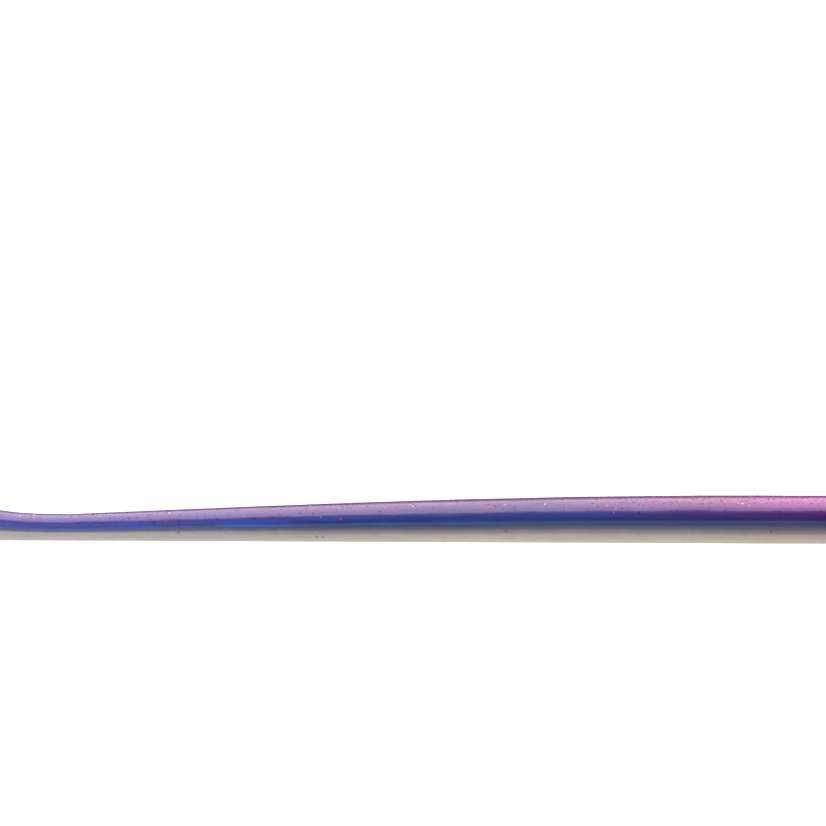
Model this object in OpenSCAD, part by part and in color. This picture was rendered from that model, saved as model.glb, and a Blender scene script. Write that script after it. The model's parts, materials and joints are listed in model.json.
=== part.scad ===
// Soft plastic straight-tail worm, poured in three bonded layers: a clear violet back full of
// red and black flake, a blue stripe, and an opaque belly that ends in the flat pour face.
// The soft body bends anywhere. Here it is cut into stretches that meet in ball ends and
// sockets, so that each stretch is rigid and the whole worm curls.
// +X runs from tail to nose, +Z from belly to back; the origin is under the middle of the worm.

/* [Worm] */
// Length from the tail tip to the nose tip
worm_length = 178; // [160:1:200]
// Width of the body where it is thickest
body_width = 9.1; // [8:0.1:11]
// Distance from the nose tip back to where the body reaches its full width
full_width_from_nose = 26; // [20:1:40]
// Length of the rounded nose
nose_length = 8; // [6:0.5:12]
// Width of the slim neck in front of the tail bulb
neck_width = 5.05; // [4.4:0.05:6.2]
// Distance from the tail tip to the neck
neck_from_tip = 27; // [24:1:32]
// Width of the tail bulb
bulb_width = 6.5; // [5.4:0.1:8]
// Distance from the tail tip to the widest part of the bulb
bulb_from_tip = 7.5; // [6:0.5:9]

/* [Poured layers] */
// Width of the flat pour face under the belly, where the body is thickest
pour_face_width = 4.6; // [3:0.1:5.6]
// Depth of the opaque belly layer, where the body is thickest
belly_depth = 3.2; // [2.6:0.1:3.6]
// Depth of the blue stripe layer, where the body is thickest
stripe_depth = 2.4; // [1.8:0.1:2.6]

/* [Flake] */
// Width of a red flake across its corners
red_flake_width = 0.6; // [0.4:0.05:0.8]
// Width of a black flake across its corners
black_flake_width = 0.4; // [0.3:0.05:0.6]
// Thickness of a flake
flake_thickness = 0.05; // [0.03:0.01:0.1]
// How far the red flakes lie under the surface
red_flake_depth = 0.5; // [0.4:0.05:0.6]
// How far the black flakes lie under the surface
black_flake_depth = 0.8; // [0.75:0.05:0.9]
// Number of flakes of each colour in one stretch
flakes_per_stretch = 8; // [4:1:9]

/* [Bending] */
// Clearance between a ball end and its socket
joint_gap = 0.2; // [0.15:0.05:0.3]
// Thickness of a socket's rim
rim_wall = 0.2; // [0.15:0.05:0.3]

/* [Hidden] */
stretches = 9;
steps_per_stretch = 8;
arc_step = 7.5;
edge_room = 1.5;
round_fn = 96;

body_r = body_width / 2;
neck_r = neck_width / 2;
bulb_r = bulb_width / 2;
nose_x = worm_length / 2;
tip_x = -worm_length / 2;
neck_x = tip_x + neck_from_tip;
bulb_x = tip_x + bulb_from_tip;
full_x = nose_x - full_width_from_nose;
nose_base_x = nose_x - nose_length;
pitch = worm_length / stretches;

// The belly is cut flat at this share of the radius below the middle of the section
flat_share = sqrt(1 - pow(pour_face_width / body_width, 2));
full_height = body_r * (1 + flat_share);
belly_top = belly_depth / full_height;
stripe_top = (belly_depth + stripe_depth) / full_height;

names = ["back", "stripe", "belly", "red_flakes", "black_flakes"];

// Radius of the body before its nose and tail tip are rounded over
function plain_r(x) =
    x >= full_x ? body_r
    : x >= neck_x ? neck_r + (body_r - neck_r) * sin(90 * (x - neck_x) / (full_x - neck_x))
    : x >= bulb_x ? neck_r + (bulb_r - neck_r) * bulb_rise((neck_x - x) / (neck_x - bulb_x))
    : bulb_r;
function bulb_rise(t) = (1 - cos(180 * pow(t, 1.8))) / 2;

// Radius with the nose and the tip rounded over as ellipses
function outer_r(x) =
    x > nose_base_x ? plain_r(x) * sqrt(max(0, 1 - pow((x - nose_base_x) / nose_length, 2)))
    : x < bulb_x ? plain_r(x) * sqrt(max(0, 1 - pow((bulb_x - x) / bulb_from_tip, 2)))
    : plain_r(x);

// Height of the middle of the section, and of the section itself
function spine_z(x) = flat_share * plain_r(x);
function section_height(x) = (1 + flat_share) * plain_r(x);

// Ends of stretch k, counted from 1 at the nose
function tail_end(k) = nose_x - k * pitch;
function head_end(k) = nose_x - (k - 1) * pitch;

// How far a socket's rim stands back from the middle of the ball that it holds
function rim_back(r) = sqrt(pow(r + joint_gap, 2) - pow(r - rim_wall, 2));

// Places along stretch k at which its outline has a point
function even_places(from, to) =
    [for (i = [0 : steps_per_stretch]) from + (to - from) * i / steps_per_stretch];
function stations(k) =
    k == 1 ? concat(even_places(tail_end(k), nose_base_x),
                    [for (a = [arc_step : arc_step : 90]) nose_base_x + nose_length * sin(a)])
    : k == stretches ? concat([for (a = [90 : -arc_step : arc_step]) bulb_x - bulb_from_tip * sin(a)],
                              even_places(bulb_x, head_end(k) - rim_back(plain_r(head_end(k)))))
    : even_places(tail_end(k), head_end(k) - rim_back(plain_r(head_end(k))));

function ball_arc(r) = [for (a = [90 : -arc_step : arc_step]) [r * cos(a), -r * sin(a)]];
function socket_arc(r, rim, length) =
    let (from = asin(rim / r), count = ceil((90 - from) / arc_step))
    [for (i = [1 : count])
        let (a = from + (90 - from) * i / count)
        [r * cos(a), length - r * sin(a)]];

// One stretch of the whole round section, before the belly is cut flat
module stretch(k) {
    from_x = tail_end(k);
    to_x = head_end(k);
    rise = spine_z(to_x) - spine_z(from_x);
    length = norm([to_x - from_x, rise]);
    tilt = atan2(rise, to_x - from_x);
    to_r = plain_r(to_x);
    outline = [for (x = stations(k)) [outer_r(x), length * (x - from_x) / (to_x - from_x)]];
    ball = k < stretches ? ball_arc(plain_r(from_x)) : [];
    socket = k > 1 ? socket_arc(to_r + joint_gap, rim_back(to_r), length) : [];
    translate([from_x, 0, spine_z(from_x)])
        rotate([0, 90 - tilt, 0])
            rotate_extrude($fn = round_fn)
                polygon(concat(ball, outline, socket));
}

// The wedge of stretch k between two shares of the section's height
module layer(k, low, high) {
    from_x = tail_end(k);
    to_x = head_end(k);
    slope = (section_height(to_x) - section_height(from_x)) / (to_x - from_x);
    left = from_x - body_width;
    right = to_x + body_width;
    left_height = section_height(from_x) - slope * body_width;
    right_height = section_height(to_x) + slope * body_width;
    intersection() {
        stretch(k);
        rotate([90, 0, 0])
            linear_extrude(height = 2 * body_width, center = true)
                polygon([[left, low * left_height], [right, low * right_height],
                         [right, high * right_height], [left, high * left_height]]);
    }
}

// Flat hexagonal flakes of one colour, lying under the back of stretch k
module flakes(k, width, depth, turn) {
    from_x = max(tail_end(k), bulb_x) + edge_room;
    to_x = min(head_end(k) - plain_r(head_end(k)), nose_base_x) - edge_room;
    for (i = [1 : flakes_per_stretch]) {
        x = from_x + (to_x - from_x) * (i - 0.5) / flakes_per_stretch;
        around = 50 + 80 * abs(sin(137.5 * i + turn * k));
        translate([x, 0, spine_z(x)])
            rotate([around, 0, 0])
                translate([0, outer_r(x) - depth, 0])
                    rotate([-90, 0, 0])
                        cylinder(d = width, h = flake_thickness, $fn = 6);
    }
}

module back(k) {
    color("#5b3f7e") layer(k, stripe_top, 2);
}

module stripe(k) {
    color("#36448a") layer(k, belly_top, stripe_top);
}

module belly(k) {
    color("#b9aea4") layer(k, 0, belly_top);
}

module red_flakes(k) {
    color("#c0304a") flakes(k, red_flake_width, red_flake_depth, 61);
}

module black_flakes(k) {
    color("#201826") flakes(k, black_flake_width, black_flake_depth, 23);
}

for (k = [1 : stretches]) {
    back(k);
    stripe(k);
    belly(k);
    red_flakes(k);
    black_flakes(k);
}
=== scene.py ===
import json
import math
import random

import bmesh
import bpy
from mathutils import Matrix, Vector, noise


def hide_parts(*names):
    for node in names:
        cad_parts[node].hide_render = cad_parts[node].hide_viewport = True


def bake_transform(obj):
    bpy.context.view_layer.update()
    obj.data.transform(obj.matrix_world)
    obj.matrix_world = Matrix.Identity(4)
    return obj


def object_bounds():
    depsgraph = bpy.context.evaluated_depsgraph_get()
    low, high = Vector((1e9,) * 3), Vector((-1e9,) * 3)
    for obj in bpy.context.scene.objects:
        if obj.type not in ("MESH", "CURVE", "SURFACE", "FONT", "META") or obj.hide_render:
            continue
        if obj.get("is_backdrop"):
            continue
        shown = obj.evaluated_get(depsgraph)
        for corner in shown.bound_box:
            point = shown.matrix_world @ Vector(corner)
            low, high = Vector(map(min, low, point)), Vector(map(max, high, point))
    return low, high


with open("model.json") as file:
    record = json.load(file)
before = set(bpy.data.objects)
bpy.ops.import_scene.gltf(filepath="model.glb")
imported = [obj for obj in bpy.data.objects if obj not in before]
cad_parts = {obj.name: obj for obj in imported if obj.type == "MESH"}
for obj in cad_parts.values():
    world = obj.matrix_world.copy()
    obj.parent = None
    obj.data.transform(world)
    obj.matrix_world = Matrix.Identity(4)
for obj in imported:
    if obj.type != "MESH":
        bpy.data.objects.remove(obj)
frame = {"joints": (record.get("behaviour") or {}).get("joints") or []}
cad_low, cad_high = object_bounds()

MM = 0.001
RED_FLAKE_SLOT, BLACK_FLAKE_SLOT = "red_flake", "black_flake"

# ---------------------------------------------------------------- the worm's own sizes, in metres
LENGTH = cad_high.x - cad_low.x
BODY_R = (cad_high.y - cad_low.y) / 2
NECK_R = 2.525 * MM
BULB_R = 3.25 * MM
FLAT_SHARE = (cad_high.z - cad_low.z) / BODY_R - 1   # how far the pour face lies under the middle, in radii
FULL_FROM_NOSE = 26 * MM
NOSE_LENGTH = 8 * MM
NECK_FROM_TIP = 27 * MM
BULB_FROM_TIP = 7.5 * MM
BULB_SWELL = 1.8         # how late the swelling from the neck to the bulb comes
BELLY_DEPTH = 3.2 * MM
STRIPE_DEPTH = 2.4 * MM

TIP_X = cad_low.x
NOSE_X = cad_high.x
FULL_X = NOSE_X - FULL_FROM_NOSE
NOSE_BASE_X = NOSE_X - NOSE_LENGTH
NECK_X = TIP_X + NECK_FROM_TIP
BULB_X = TIP_X + BULB_FROM_TIP
FULL_HEIGHT = BODY_R * (1 + FLAT_SHARE)
BELLY_TOP = BELLY_DEPTH / FULL_HEIGHT
STRIPE_TOP = (BELLY_DEPTH + STRIPE_DEPTH) / FULL_HEIGHT

# ---------------------------------------------------------------- how finely it is built
AROUND = 192            # points round the whole section
RING_STEP = 0.6 * MM    # distance between rings
RIPPLE = 0.028 * MM     # height of the soft unevenness of the moulded skin
WAVE_LENGTH = 7 * MM    # of the ripple along the worm, and of the finer one on it
FINE_WAVE_LENGTH = 1.6 * MM
FINE_SHARE = 0.35       # height of the finer ripple against the other
END_STEPS = 18          # rings of the rounded nose and of the tail tip
SHARP_EDGE = math.radians(40)
TINY = 1e-9


def plain_r(x):
    """Radius at x before the nose and the tail tip are rounded over."""
    if x >= FULL_X:
        return BODY_R
    if x >= NECK_X:
        return NECK_R + (BODY_R - NECK_R) * math.sin(math.pi / 2 * (x - NECK_X) / (FULL_X - NECK_X))
    if x >= BULB_X:
        swell = (1 - math.cos(math.pi * ((NECK_X - x) / (NECK_X - BULB_X)) ** BULB_SWELL)) / 2
        return NECK_R + (BULB_R - NECK_R) * swell
    return BULB_R


def outer_r(x):
    """Radius at x with the nose and the tip rounded over as ellipses."""
    if x > NOSE_BASE_X:
        return plain_r(x) * math.sqrt(max(0.0, 1 - ((x - NOSE_BASE_X) / NOSE_LENGTH) ** 2))
    if x < BULB_X:
        return plain_r(x) * math.sqrt(max(0.0, 1 - ((BULB_X - x) / BULB_FROM_TIP) ** 2))
    return plain_r(x)


def spine_z(x):
    """Height of the middle of the section over the pour face."""
    return FLAT_SHARE * plain_r(x)


def over_middle(share):
    """A share of the section's height as a height over its middle, in radii."""
    return share * (1 + FLAT_SHARE) - FLAT_SHARE


def skin_point(x, angle, sink=0.0):
    """A point of the skin at x, angle round from +Y towards +Z, sink below the surface."""
    r = outer_r(x) - sink
    return Vector((x, r * math.cos(angle), max(0.0, spine_z(x) + r * math.sin(angle))))


# ---------------------------------------------------------------- materials
def linear(hex_colour):
    """An sRGB hex colour as the linear colour that a shader takes."""
    parts = [int(hex_colour[i:i + 2], 16) / 255 for i in (1, 3, 5)]
    return [c / 12.92 if c <= 0.04045 else ((c + 0.055) / 1.055) ** 2.4 for c in parts] + [1.0]


def add(tree, kind, settings=None, links=None):
    """Adds a node. Settings are its properties or socket values, or the stops of a colour ramp as (place,
    hex colour). Links are socket: other node's output."""
    node = tree.nodes.new("ShaderNode" + kind)
    for key, value in (settings or {}).items():
        if key == "stops":
            elements = node.color_ramp.elements
            while len(elements) < len(value):
                elements.new(0.5)
            for element, (place, colour) in zip(elements, value):
                element.position = place
                element.color = linear(colour)
        elif key == "blending":
            node.color_ramp.interpolation = value
        elif isinstance(key, str) and hasattr(node, key):
            setattr(node, key, value)
        else:
            node.inputs[key].default_value = value
    for key, output in (links or {}).items():
        tree.links.new(output, node.inputs[key])
    return node


def new_material(name):
    material = bpy.data.materials.new(name)
    material.use_nodes = True
    material.node_tree.nodes.clear()
    return material, material.node_tree


# Colours of the pour, from the flat belly (0) to the top of the back (1): taupe, blue, then violet, which
# turns pink towards the nose; that pink is partly the back's own tint and partly a painted glow of light
# passing through the back, and the darker last stop along the ridge of the back is painted shade
TAIL_POUR_AND_RIDGE_SHADE = [(0.00, "#a39b96"), (0.28, "#a1989a"), (0.35, "#5e5f80"), (0.40, "#444e84"),
             (0.47, "#3e4a8b"), (0.56, "#4e4f94"), (0.68, "#4c3a86"), (0.78, "#5f4a89"),
             (0.96, "#705888"), (1.00, "#5c4c80")]
MIDDLE_POUR_AND_RIDGE_SHADE = [(0.00, "#a49d8f"), (0.16, "#9d948a"), (0.25, "#777077"), (0.33, "#464963"),
               (0.40, "#1a2d5e"), (0.50, "#20336e"), (0.61, "#313877"), (0.72, "#4e3b76"),
               (0.85, "#684a7a"), (0.96, "#694a72"), (1.00, "#58446c")]
NOSE_POUR_GLOW_AND_RIDGE_SHADE = [(0.00, "#a4998e"), (0.14, "#9a8c81"), (0.24, "#6b5f70"), (0.32, "#443e5c"),
             (0.40, "#1c1e50"), (0.50, "#242057"), (0.60, "#44245f"), (0.70, "#621f6c"),
             (0.80, "#86417e"), (0.90, "#9c4a88"), (0.96, "#8c4c7c"), (1.00, "#644468")]
# Shares of the length over which the tail's colours give way to the middle's, and those to the nose's
MIDDLE_FROM, MIDDLE_TO = 0.12, 0.48
NOSE_FROM, NOSE_TO = 0.60, 0.93
# Colour of the wisps of clean blue, and where they lie up the section and along the worm
WISP_BLUE = "#2c4ba2"
WISP_RISE = [(0.36, "#000000"), (0.46, "#ffffff"), (0.58, "#ffffff"), (0.66, "#000000")]
WISP_REACH = [(0.05, "#303030"), (0.22, "#ffffff"), (0.42, "#ffffff"), (0.62, "#303030")]
# Colours of the flake seen deep down
DEEP_FLAKE = [(0.0, "#241433"), (0.45, "#2c1437"), (0.55, "#7a2448"), (1.0, "#8e2c50")]


def plastisol(name, roughness, specks_from, speck_share):
    """Plastisol, a soft vinyl poured hot into an open mould: wet-looking gloss, tinted layers that bleed
    into each other, streaks drawn out along the pour, and flake that shows dimly from deeper down. Specks
    start at the share specks_from of the height, and speck_share of the places for one hold one."""
    material, tree = new_material(name)
    rest = add(tree, "Attribute", {"attribute_name": "rest_mm"}).outputs["Vector"]
    share = add(tree, "Attribute", {"attribute_name": "pour_share"}).outputs["Fac"]
    along = add(tree, "Attribute", {"attribute_name": "along_share"}).outputs["Fac"]
    # streaks: 14 mm long and under 1 mm across
    drawn = add(tree, "Mapping", {"Scale": (0.07, 1.1, 1.1)}, {"Vector": rest}).outputs["Vector"]
    streak = add(tree, "TexNoise", {"Scale": 1.0, "Detail": 4.0, "Roughness": 0.6}, {"Vector": drawn})
    cloud = add(tree, "TexNoise", {"Scale": 0.22, "Detail": 2.0}, {"Vector": rest})
    wander = add(tree, "MapRange", {"To Min": -0.035, "To Max": 0.035}, {"Value": streak.outputs["Fac"]})
    drift = add(tree, "MapRange", {"To Min": -0.02, "To Max": 0.02}, {"Value": cloud.outputs["Fac"]})
    moved = add(tree, "Math", {"operation": "ADD"}, {0: share, 1: wander.outputs["Result"]}).outputs[0]
    moved = add(tree, "Math", {"operation": "ADD"}, {0: moved, 1: drift.outputs["Result"]}).outputs[0]
    # painted light: the ramps hold a painted glow towards the nose and painted shade along the ridge of the
    # back
    tail, middle, nose = (
        add(tree, "ValToRGB", {"blending": "EASE", "stops": stops}, {"Fac": moved}).outputs[0]
        for stops in (TAIL_POUR_AND_RIDGE_SHADE, MIDDLE_POUR_AND_RIDGE_SHADE, NOSE_POUR_GLOW_AND_RIDGE_SHADE))
    to_middle, to_nose = (
        add(tree, "MapRange", {"From Min": first, "From Max": last, "interpolation_type": "SMOOTHSTEP"},
            {"Value": along}).outputs["Result"]
        for first, last in ((MIDDLE_FROM, MIDDLE_TO), (NOSE_FROM, NOSE_TO)))
    mixed = add(tree, "Mix", {"data_type": "RGBA"}, {"Factor": to_middle, 6: tail, 7: middle}).outputs[2]
    mixed = add(tree, "Mix", {"data_type": "RGBA"}, {"Factor": to_nose, 6: mixed, 7: nose}).outputs[2]
    # wisps of clean blue dye in the stripe, 25 mm long and 0.5 mm across, mostly towards the tail
    thin = add(tree, "Mapping", {"Scale": (0.04, 2.0, 2.0)}, {"Vector": rest}).outputs["Vector"]
    wisp = add(tree, "TexNoise", {"Scale": 1.0, "Detail": 2.0}, {"Vector": thin}).outputs["Fac"]
    wisp = add(tree, "MapRange", {"From Min": 0.52, "From Max": 0.64}, {"Value": wisp}).outputs["Result"]
    within = add(tree, "ValToRGB", {"stops": WISP_RISE}, {"Fac": moved}).outputs[0]
    fading = add(tree, "ValToRGB", {"stops": WISP_REACH}, {"Fac": along}).outputs[0]
    wisp = add(tree, "Math", {"operation": "MULTIPLY"}, {0: wisp, 1: within}).outputs[0]
    wisp = add(tree, "Math", {"operation": "MULTIPLY"}, {0: wisp, 1: fading}).outputs[0]
    mixed = add(tree, "Mix", {"data_type": "RGBA", 7: linear(WISP_BLUE)},
                {"Factor": wisp, 6: mixed}).outputs[2]
    # light and dark along the streaks, and a mould grain 0.4 mm apart
    grain = add(tree, "TexNoise", {"Scale": 2.4, "Detail": 3.0}, {"Vector": rest})
    tone = add(tree, "MapRange", {"From Min": 0.3, "From Max": 0.7, "To Min": 0.88, "To Max": 1.12},
               {"Value": streak.outputs["Fac"]}).outputs["Result"]
    fleck = add(tree, "MapRange", {"From Min": 0.3, "From Max": 0.7, "To Min": 0.93, "To Max": 1.07},
                {"Value": grain.outputs["Fac"]}).outputs["Result"]
    tone = add(tree, "Math", {"operation": "MULTIPLY"}, {0: tone, 1: fleck}).outputs[0]
    toned = add(tree, "VectorMath", {"operation": "SCALE"}, {0: mixed, "Scale": tone}).outputs[0]
    # flake seen dimly inside the pour: cells 1.1 mm apart, some of them holding a soft dark or maroon spot
    cells = add(tree, "TexVoronoi", {"Scale": 0.9, "Randomness": 1.0}, {"Vector": rest})
    spot = add(tree, "MapRange", {"From Min": 0.16, "From Max": 0.34, "To Min": 1.0, "To Max": 0.0},
               {"Value": cells.outputs["Distance"]}).outputs["Result"]
    picks = add(tree, "SeparateColor", {}, {0: cells.outputs["Color"]})
    held = add(tree, "Math", {"operation": "LESS_THAN", 1: speck_share}, {0: picks.outputs[0]}).outputs[0]
    deep = add(tree, "MapRange", {"From Min": specks_from, "From Max": specks_from + 0.12},
               {"Value": share}).outputs["Result"]
    spot = add(tree, "Math", {"operation": "MULTIPLY"}, {0: spot, 1: held}).outputs[0]
    spot = add(tree, "Math", {"operation": "MULTIPLY"}, {0: spot, 1: deep}).outputs[0]
    spot = add(tree, "Math", {"operation": "MULTIPLY", 1: 0.6}, {0: spot}).outputs[0]
    hue = add(tree, "ValToRGB", {"blending": "CONSTANT", "stops": DEEP_FLAKE},
              {"Fac": picks.outputs[1]}).outputs[0]
    colour = add(tree, "Mix", {"data_type": "RGBA"}, {"Factor": spot, 6: toned, 7: hue}).outputs[2]
    bump = add(tree, "Bump", {"Strength": 0.10, "Distance": 0.0001}, {"Height": grain.outputs["Fac"]})
    shader = add(tree, "BsdfPrincipled", {"Roughness": roughness, "IOR": 1.5},
                 {"Base Color": colour, "Normal": bump.outputs["Normal"]})
    add(tree, "OutputMaterial", {}, {"Surface": shader.outputs[0]})
    return material


def glitter(name, stops):
    """Hexagonal glitter: lacquered polyester film under a skin of plastisol, which gives it the worm's own
    gloss. Most flakes show their deep colour, and a few, with the highest tones, are painted pale as
    painted glints."""
    material, tree = new_material(name)
    tone = add(tree, "Attribute", {"attribute_name": "tone"}).outputs["Fac"]
    colour = add(tree, "ValToRGB", {"stops": stops}, {"Fac": tone}).outputs[0]
    shader = add(tree, "BsdfPrincipled", {"Roughness": 0.3, "IOR": 1.5}, {"Base Color": colour})
    add(tree, "OutputMaterial", {}, {"Surface": shader.outputs[0]})
    return material


BACK_PLASTISOL = plastisol("clear_violet_plastisol", 0.17, 0.55, 0.55)
STRIPE_PLASTISOL = plastisol("blue_tinted_plastisol", 0.17, 0.52, 0.40)
BELLY_PLASTISOL = plastisol("opaque_taupe_plastisol", 0.34, 0.02, 0.035)
# the last stop of the red glitter is a painted glint
RED_GLITTER = glitter("red_glitter_film", [(0.0, "#741c3c"), (0.5, "#a63a58"), (0.94, "#c05c78"),
                                           (0.97, "#d296a6")])
BLACK_GLITTER = glitter("black_glitter_film", [(0.0, "#140a1a"), (0.7, "#301634"), (1.0, "#4c2248")])


# ---------------------------------------------------------------- the poured layers
LAYERS = {  # name: (low share, high share, material, record slot)
    "belly": (0.0, BELLY_TOP, BELLY_PLASTISOL, "taupe_plastisol"),
    "stripe": (BELLY_TOP, STRIPE_TOP, STRIPE_PLASTISOL, "blue_plastisol"),
    "back": (STRIPE_TOP, 1.0, BACK_PLASTISOL, "violet_plastisol"),
}


def ripple(x, angle):
    """Soft unevenness of the skin, fading out at the nose and the tail tip."""
    fade = min(1.0, (NOSE_X - x) / NOSE_LENGTH, (x - TIP_X) / BULB_FROM_TIP)
    broad = Vector((x / WAVE_LENGTH, 1.6 * math.cos(angle), 1.6 * math.sin(angle)))
    fine = Vector((x / FINE_WAVE_LENGTH, 4 * math.cos(angle), 4 * math.sin(angle)))
    return RIPPLE * max(0.0, fade) * (noise.noise(broad) + FINE_SHARE * noise.noise(fine))


# Rings of the rounded nose and tip, as angles round the ellipse from its pole. A layer that the pole isn't
# in ends at its own ring, and its neighbours share that ring, so that no gap opens between them.
LAYER_CORES = [abs(over_middle(share)) for share in (BELLY_TOP, STRIPE_TOP)]
END_RINGS = sorted([math.pi / 2 * i / END_STEPS for i in range(END_STEPS)]
                   + [math.asin(core) for core in LAYER_CORES])


def ring_places(start, end, core):
    """Places along X of the rings of one zone, down to the ring of core times the plain radius."""
    rings = [a for a in END_RINGS if a >= math.asin(core) - TINY]
    places = []
    if start <= TIP_X + RING_STEP:
        places = [BULB_X - BULB_FROM_TIP * math.cos(a) for a in rings]
        start = BULB_X
    last = NOSE_BASE_X if end >= NOSE_X - RING_STEP else end
    count = max(1, round((last - start) / RING_STEP))
    places += [start + (last - start) * i / count for i in range(count + 1)]
    if last < end:
        places += [NOSE_BASE_X + NOSE_LENGTH * math.cos(a) for a in reversed(rings)]
    return places


def cut_angle(height, x):
    """Angle at which a level plane meets the skin at x; its height from the middle is in plain radii."""
    return math.asin(max(-1.0, min(1.0, height * plain_r(x) / max(outer_r(x), TINY))))


def layer_mesh(name, low, high, start, end):
    """One layer between two shares of the section's height, swept from start to end and closed. Its two
    faces stay level through the rounded nose and tail tip, as the pours did."""
    low, high = (over_middle(share) if 0 < share < 1 else 2 * share - 1 for share in (low, high))
    places = ring_places(start, end, max(0.0, low, -high))
    bm = bmesh.new()
    bmesh.ops.create_circle(bm, segments=AROUND, radius=1.0, matrix=Matrix.Rotation(math.pi / 2, 4, "Y"))
    for height, side in ((low, -1), (high, 1)):
        if abs(height) < 1:
            bmesh.ops.bisect_plane(bm, geom=bm.verts[:] + bm.edges[:], plane_co=(0, 0, height),
                                   plane_no=(0, 0, side), clear_outer=True, dist=1e-6)
            ends = [v for v in bm.verts if abs(v.co.z - height) < 1e-5]
            bmesh.ops.contextual_create(bm, geom=ends)
    bmesh.ops.spin(bm, geom=bm.edges[:], cent=(0, 0, 0), axis=(1, 0, 0), dvec=(1, 0, 0), angle=0,
                   steps=len(places) - 1, use_duplicate=False)
    for station in (0, len(places) - 1):
        rim = [e for e in bm.edges if all(abs(v.co.x - station) < 0.01 for v in e.verts)]
        bmesh.ops.contextual_create(bm, geom=rim)
    rest = bm.verts.layers.float_vector.new("rest_mm")
    share_layer = bm.verts.layers.float.new("pour_share")
    along_layer = bm.verts.layers.float.new("along_share")
    for v in bm.verts:
        x = places[round(v.co.x)]
        turned = math.asin(max(-1.0, min(1.0, v.co.z)))
        part = (turned - math.asin(low)) / (math.asin(high) - math.asin(low))
        rise = cut_angle(low, x) + part * (cut_angle(high, x) - cut_angle(low, x))
        angle = rise if v.co.y >= 0 else math.pi - rise
        size = outer_r(x) + ripple(x, angle)
        height = max(0.0, spine_z(x) + outer_r(x) * math.sin(rise))
        v[share_layer] = height / ((1 + FLAT_SHARE) * plain_r(x))
        v[along_layer] = (x - TIP_X) / LENGTH
        v.co = (x, size * math.cos(angle), max(0.0, spine_z(x) + size * math.sin(angle)))
        v[rest] = v.co / MM
    bmesh.ops.remove_doubles(bm, verts=bm.verts[:], dist=0.00001)
    bmesh.ops.recalc_face_normals(bm, faces=bm.faces[:])
    for face in bm.faces:
        face.smooth = True
    for edge in bm.edges:
        edge.smooth = edge.calc_face_angle(0.0) < SHARP_EDGE
    mesh = bpy.data.meshes.new(name)
    bm.to_mesh(mesh)
    bm.free()
    piece = bpy.data.objects.new(name, mesh)
    bpy.context.scene.collection.objects.link(piece)
    return piece


# ---------------------------------------------------------------- flake
FLAKES_PER_MM2 = {"red_flakes": 0.28, "black_flakes": 0.70}
FLAKE_WIDTH = {"red_flakes": (0.24 * MM, 0.54 * MM), "black_flakes": (0.16 * MM, 0.32 * MM)}
FLAKE_THICKNESS = 0.05 * MM
FLAKE_PROUD = 0.006 * MM
FLAKE_TILT = 0.05        # how far a flake leans out of the skin
FLAKE_SPREAD = 31        # degrees from the ridge of the back within which most of the flakes lie
FLAKE_LIMIT = 78
CROWDING_AT_TAIL, CROWDING_GAIN = 0.45, 0.80   # flakes crowd towards the nose
BARE_END = 1 * MM        # no flake lies nearer to the nose or the tail tip
PAINTED_GLINT_FROM = 0.95        # flakes whose tone is above this are painted pale, as painted glints
RIDGE_PAINTED_SHADE = 0.5         # painted shade: flakes along the ridge of the back are darkened
RIDGE_SHADE_REACH = 40         # degrees from the ridge over which that painted shade fades out


def flake_mesh(name, kind, start, end, seed):
    """The flakes of one colour that lie at the skin between start and end, each with a tone of its own."""
    draw = random.Random(seed)
    small, large = FLAKE_WIDTH[kind]
    bm = bmesh.new()
    tone = bm.verts.layers.float.new("tone")
    usable = (max(start, TIP_X + BARE_END), min(end, NOSE_X - BARE_END))
    middle = (usable[0] + usable[1]) / 2
    area = (usable[1] - usable[0]) * math.pi * outer_r(middle) / MM ** 2
    crowding = CROWDING_AT_TAIL + CROWDING_GAIN * (middle - TIP_X) / LENGTH
    for _ in range(round(area * FLAKES_PER_MM2[kind] * crowding)):
        x = draw.uniform(*usable)
        from_top = draw.gauss(0, FLAKE_SPREAD)
        if abs(from_top) > FLAKE_LIMIT:
            continue
        angle = math.radians(90 + from_top)
        width = draw.uniform(small, large)
        outward = Vector((0, math.cos(angle), math.sin(angle)))
        slope = (outer_r(x + 0.1 * MM) - outer_r(x - 0.1 * MM)) / (0.2 * MM)
        outward = (outward - Vector((slope, 0, 0))).normalized()
        tilt = Vector([draw.gauss(0, FLAKE_TILT) for _ in range(3)])
        turn = (outward + tilt).to_track_quat("Z", "Y").to_matrix().to_4x4()
        turn = turn @ Matrix.Rotation(draw.uniform(0, math.pi / 3), 4, "Z")
        outer_face = skin_point(x, angle, -ripple(x, angle)) + outward * FLAKE_PROUD
        place = Matrix.Translation(outer_face - outward * FLAKE_THICKNESS / 2)
        flake = bmesh.ops.create_cone(bm, segments=6, radius1=width / 2, radius2=width / 2,
                                      depth=FLAKE_THICKNESS, cap_ends=True, matrix=place @ turn)
        shade = draw.random()
        # painted shade: flakes other than the painted glints are darker along the ridge of the back
        if shade < PAINTED_GLINT_FROM:
            shade *= RIDGE_PAINTED_SHADE + (1 - RIDGE_PAINTED_SHADE) * min(1.0, abs(from_top) / RIDGE_SHADE_REACH)
        for v in flake["verts"]:
            v[tone] = shade
    mesh = bpy.data.meshes.new(name)
    bm.to_mesh(mesh)
    bm.free()
    piece = bpy.data.objects.new(name, mesh)
    bpy.context.scene.collection.objects.link(piece)
    return piece


# ---------------------------------------------------------------- zones: one for each hinge
# Counted from the nose, each zone crosses one hinge and ends in the middle of the stretch on either side
hinge_x = sorted((joint["pos_m"][0] for joint in frame["joints"]), reverse=True)
seams = [NOSE_X] + [(a + b) / 2 for a, b in zip(hinge_x, hinge_x[1:])] + [TIP_X]


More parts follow.
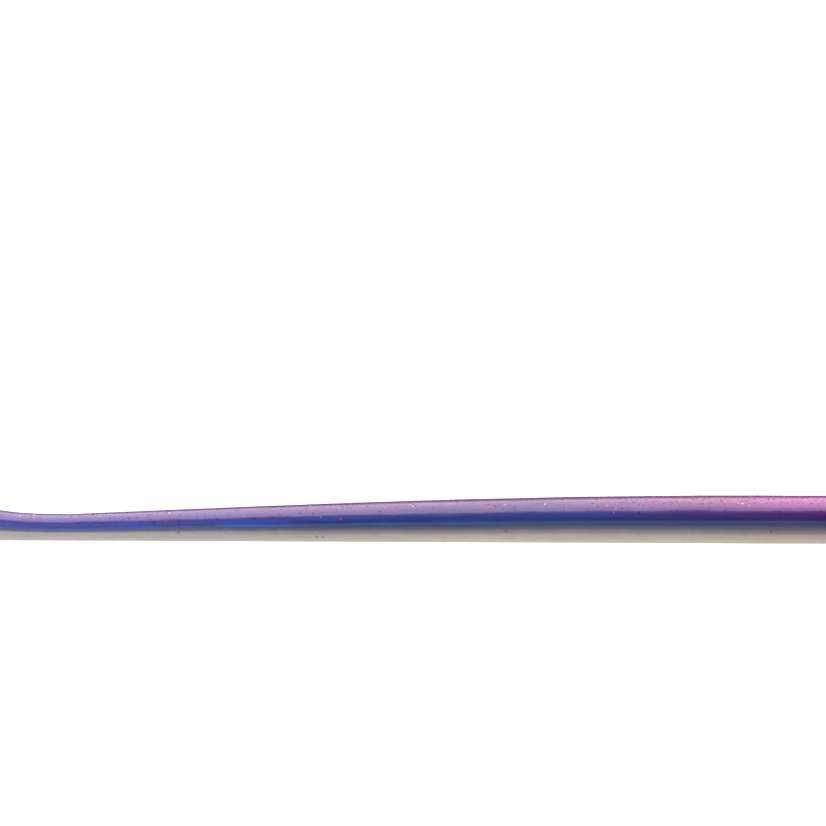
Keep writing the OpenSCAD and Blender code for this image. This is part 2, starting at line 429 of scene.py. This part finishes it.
def join_zone(piece):
    """Bakes the piece's placement into its mesh."""
    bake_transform(piece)


for zone in range(1, len(hinge_x) + 1):
    start, end = seams[zone], seams[zone - 1]
    for layer, (low, high, material, slot) in LAYERS.items():
        piece = layer_mesh(f"{layer}_skin_{zone}", low, high, start, end)
        piece.data.materials.append(material)
        join_zone(piece)
        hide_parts(f"{layer}_{zone}", f"{layer}_{zone + 1}")
    for kind, material, slot in (("red_flakes", RED_GLITTER, RED_FLAKE_SLOT),
                                 ("black_flakes", BLACK_GLITTER, BLACK_FLAKE_SLOT)):
        piece = flake_mesh(f"{kind}_cast_{zone}", kind, start, end, f"{kind} {zone}")
        piece.data.materials.append(material)
        join_zone(piece)
        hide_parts(f"{kind}_{zone}", f"{kind}_{zone + 1}")


# ---------------------------------------------------------------- studio
FLOOR_DROP = 0.30        # the floor lies well below, so that the curled worm never meets it
FLOOR_SIZE = 12.0
FLOOR_GLOW = 0.3         # the floor is lit from below, as a light table is
CARD_WIDTH = 6.0
DARK_CARDS = (("rear_dark_card", 2.5, 0.35, 2.75),    # y, and the heights of its low and high edge
              ("front_dark_card", -3.0, 0.15, 3.3))
SOFTBOX_HEIGHT = 0.25
SOFTBOX_FRONT, SOFTBOX_BACK = -0.21, 0.16
SOFTBOX_LENGTH = 0.70
SOFTBOX_RADIANCE = 2.3
ROOM_LIGHT = 1.25


def stage_plane(name, size_x, size_y, matrix, colour, glow):
    """A matt sheet of the studio: the painted floor, or a card that the gloss mirrors."""
    bm = bmesh.new()
    bmesh.ops.create_grid(bm, x_segments=1, y_segments=1, size=0.5)
    bmesh.ops.scale(bm, vec=(size_x, size_y, 1), verts=bm.verts[:])
    bmesh.ops.transform(bm, matrix=matrix, verts=bm.verts[:])
    mesh = bpy.data.meshes.new(name)
    bm.to_mesh(mesh)
    bm.free()
    material, tree = new_material(name + "_finish")
    shader = add(tree, "BsdfPrincipled", {"Base Color": linear(colour), "Roughness": 0.9,
                                          "Specular IOR Level": 0.0, "Emission Color": linear(colour),
                                          "Emission Strength": glow})
    add(tree, "OutputMaterial", {}, {"Surface": shader.outputs[0]})
    mesh.materials.append(material)
    plane = bpy.data.objects.new(name, mesh)
    bpy.context.scene.collection.objects.link(plane)
    plane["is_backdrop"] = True
    return plane


stage_plane("floor", FLOOR_SIZE, FLOOR_SIZE, Matrix.Translation((0, 0, -FLOOR_DROP)), "#f6f6f6", FLOOR_GLOW)
for name, y, low_edge, high_edge in DARK_CARDS:
    upright = Matrix.Translation((0, y, (low_edge + high_edge) / 2)) @ Matrix.Rotation(math.pi / 2, 4, "X")
    stage_plane(name, CARD_WIDTH, high_edge - low_edge, upright, "#101010", 0.0)

world = bpy.data.worlds.new("white_room")
world.use_nodes = True
world.node_tree.nodes["Background"].inputs["Color"].default_value = (1, 1, 1, 1)
world.node_tree.nodes["Background"].inputs["Strength"].default_value = ROOM_LIGHT
bpy.context.scene.world = world


def softbox(name, centre, aim, size_x, size_y, radiance):
    """A rectangular lamp that faces aim; radiance is what its surface gives, whatever its size."""
    lamp = bpy.data.lights.new(name, "AREA")
    lamp.shape = "RECTANGLE"
    lamp.size, lamp.size_y = size_x, size_y
    lamp.energy = radiance * math.pi * size_x * size_y
    lamp_object = bpy.data.objects.new(name, lamp)
    lamp_object.location = centre
    lamp_object.rotation_euler = (Vector(centre) - Vector(aim)).to_track_quat("Z", "Y").to_euler()
    bpy.context.scene.collection.objects.link(lamp_object)
    return lamp_object


middle_y = (SOFTBOX_FRONT + SOFTBOX_BACK) / 2
softbox("overhead_softbox", (0, middle_y, SOFTBOX_HEIGHT), (0, middle_y, 0), SOFTBOX_LENGTH,
        SOFTBOX_BACK - SOFTBOX_FRONT, SOFTBOX_RADIANCE)

# ---------------------------------------------------------------- camera: the side, cut off at both ends
FIELD_WIDTH = 0.146      # what the frame takes in, across the worm
CAMERA_DISTANCE = 1.2
FIELD_CENTRE_X = -0.002
FIELD_CENTRE_Z = 0.0228
ROLL = math.radians(0.236)
SENSOR_WIDTH = 36.0

camera_data = bpy.data.cameras.new("camera")
camera_data.sensor_width = SENSOR_WIDTH
camera_data.lens = SENSOR_WIDTH * CAMERA_DISTANCE / FIELD_WIDTH
camera = bpy.data.objects.new("camera", camera_data)
camera.location = (FIELD_CENTRE_X, -CAMERA_DISTANCE, FIELD_CENTRE_Z)
camera.rotation_euler = (Matrix.Rotation(math.pi / 2, 3, "X") @ Matrix.Rotation(ROLL, 3, "Z")).to_euler()
bpy.context.scene.collection.objects.link(camera)
bpy.context.scene.camera = camera
bpy.context.scene.view_settings.view_transform = "Standard"

low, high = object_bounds()
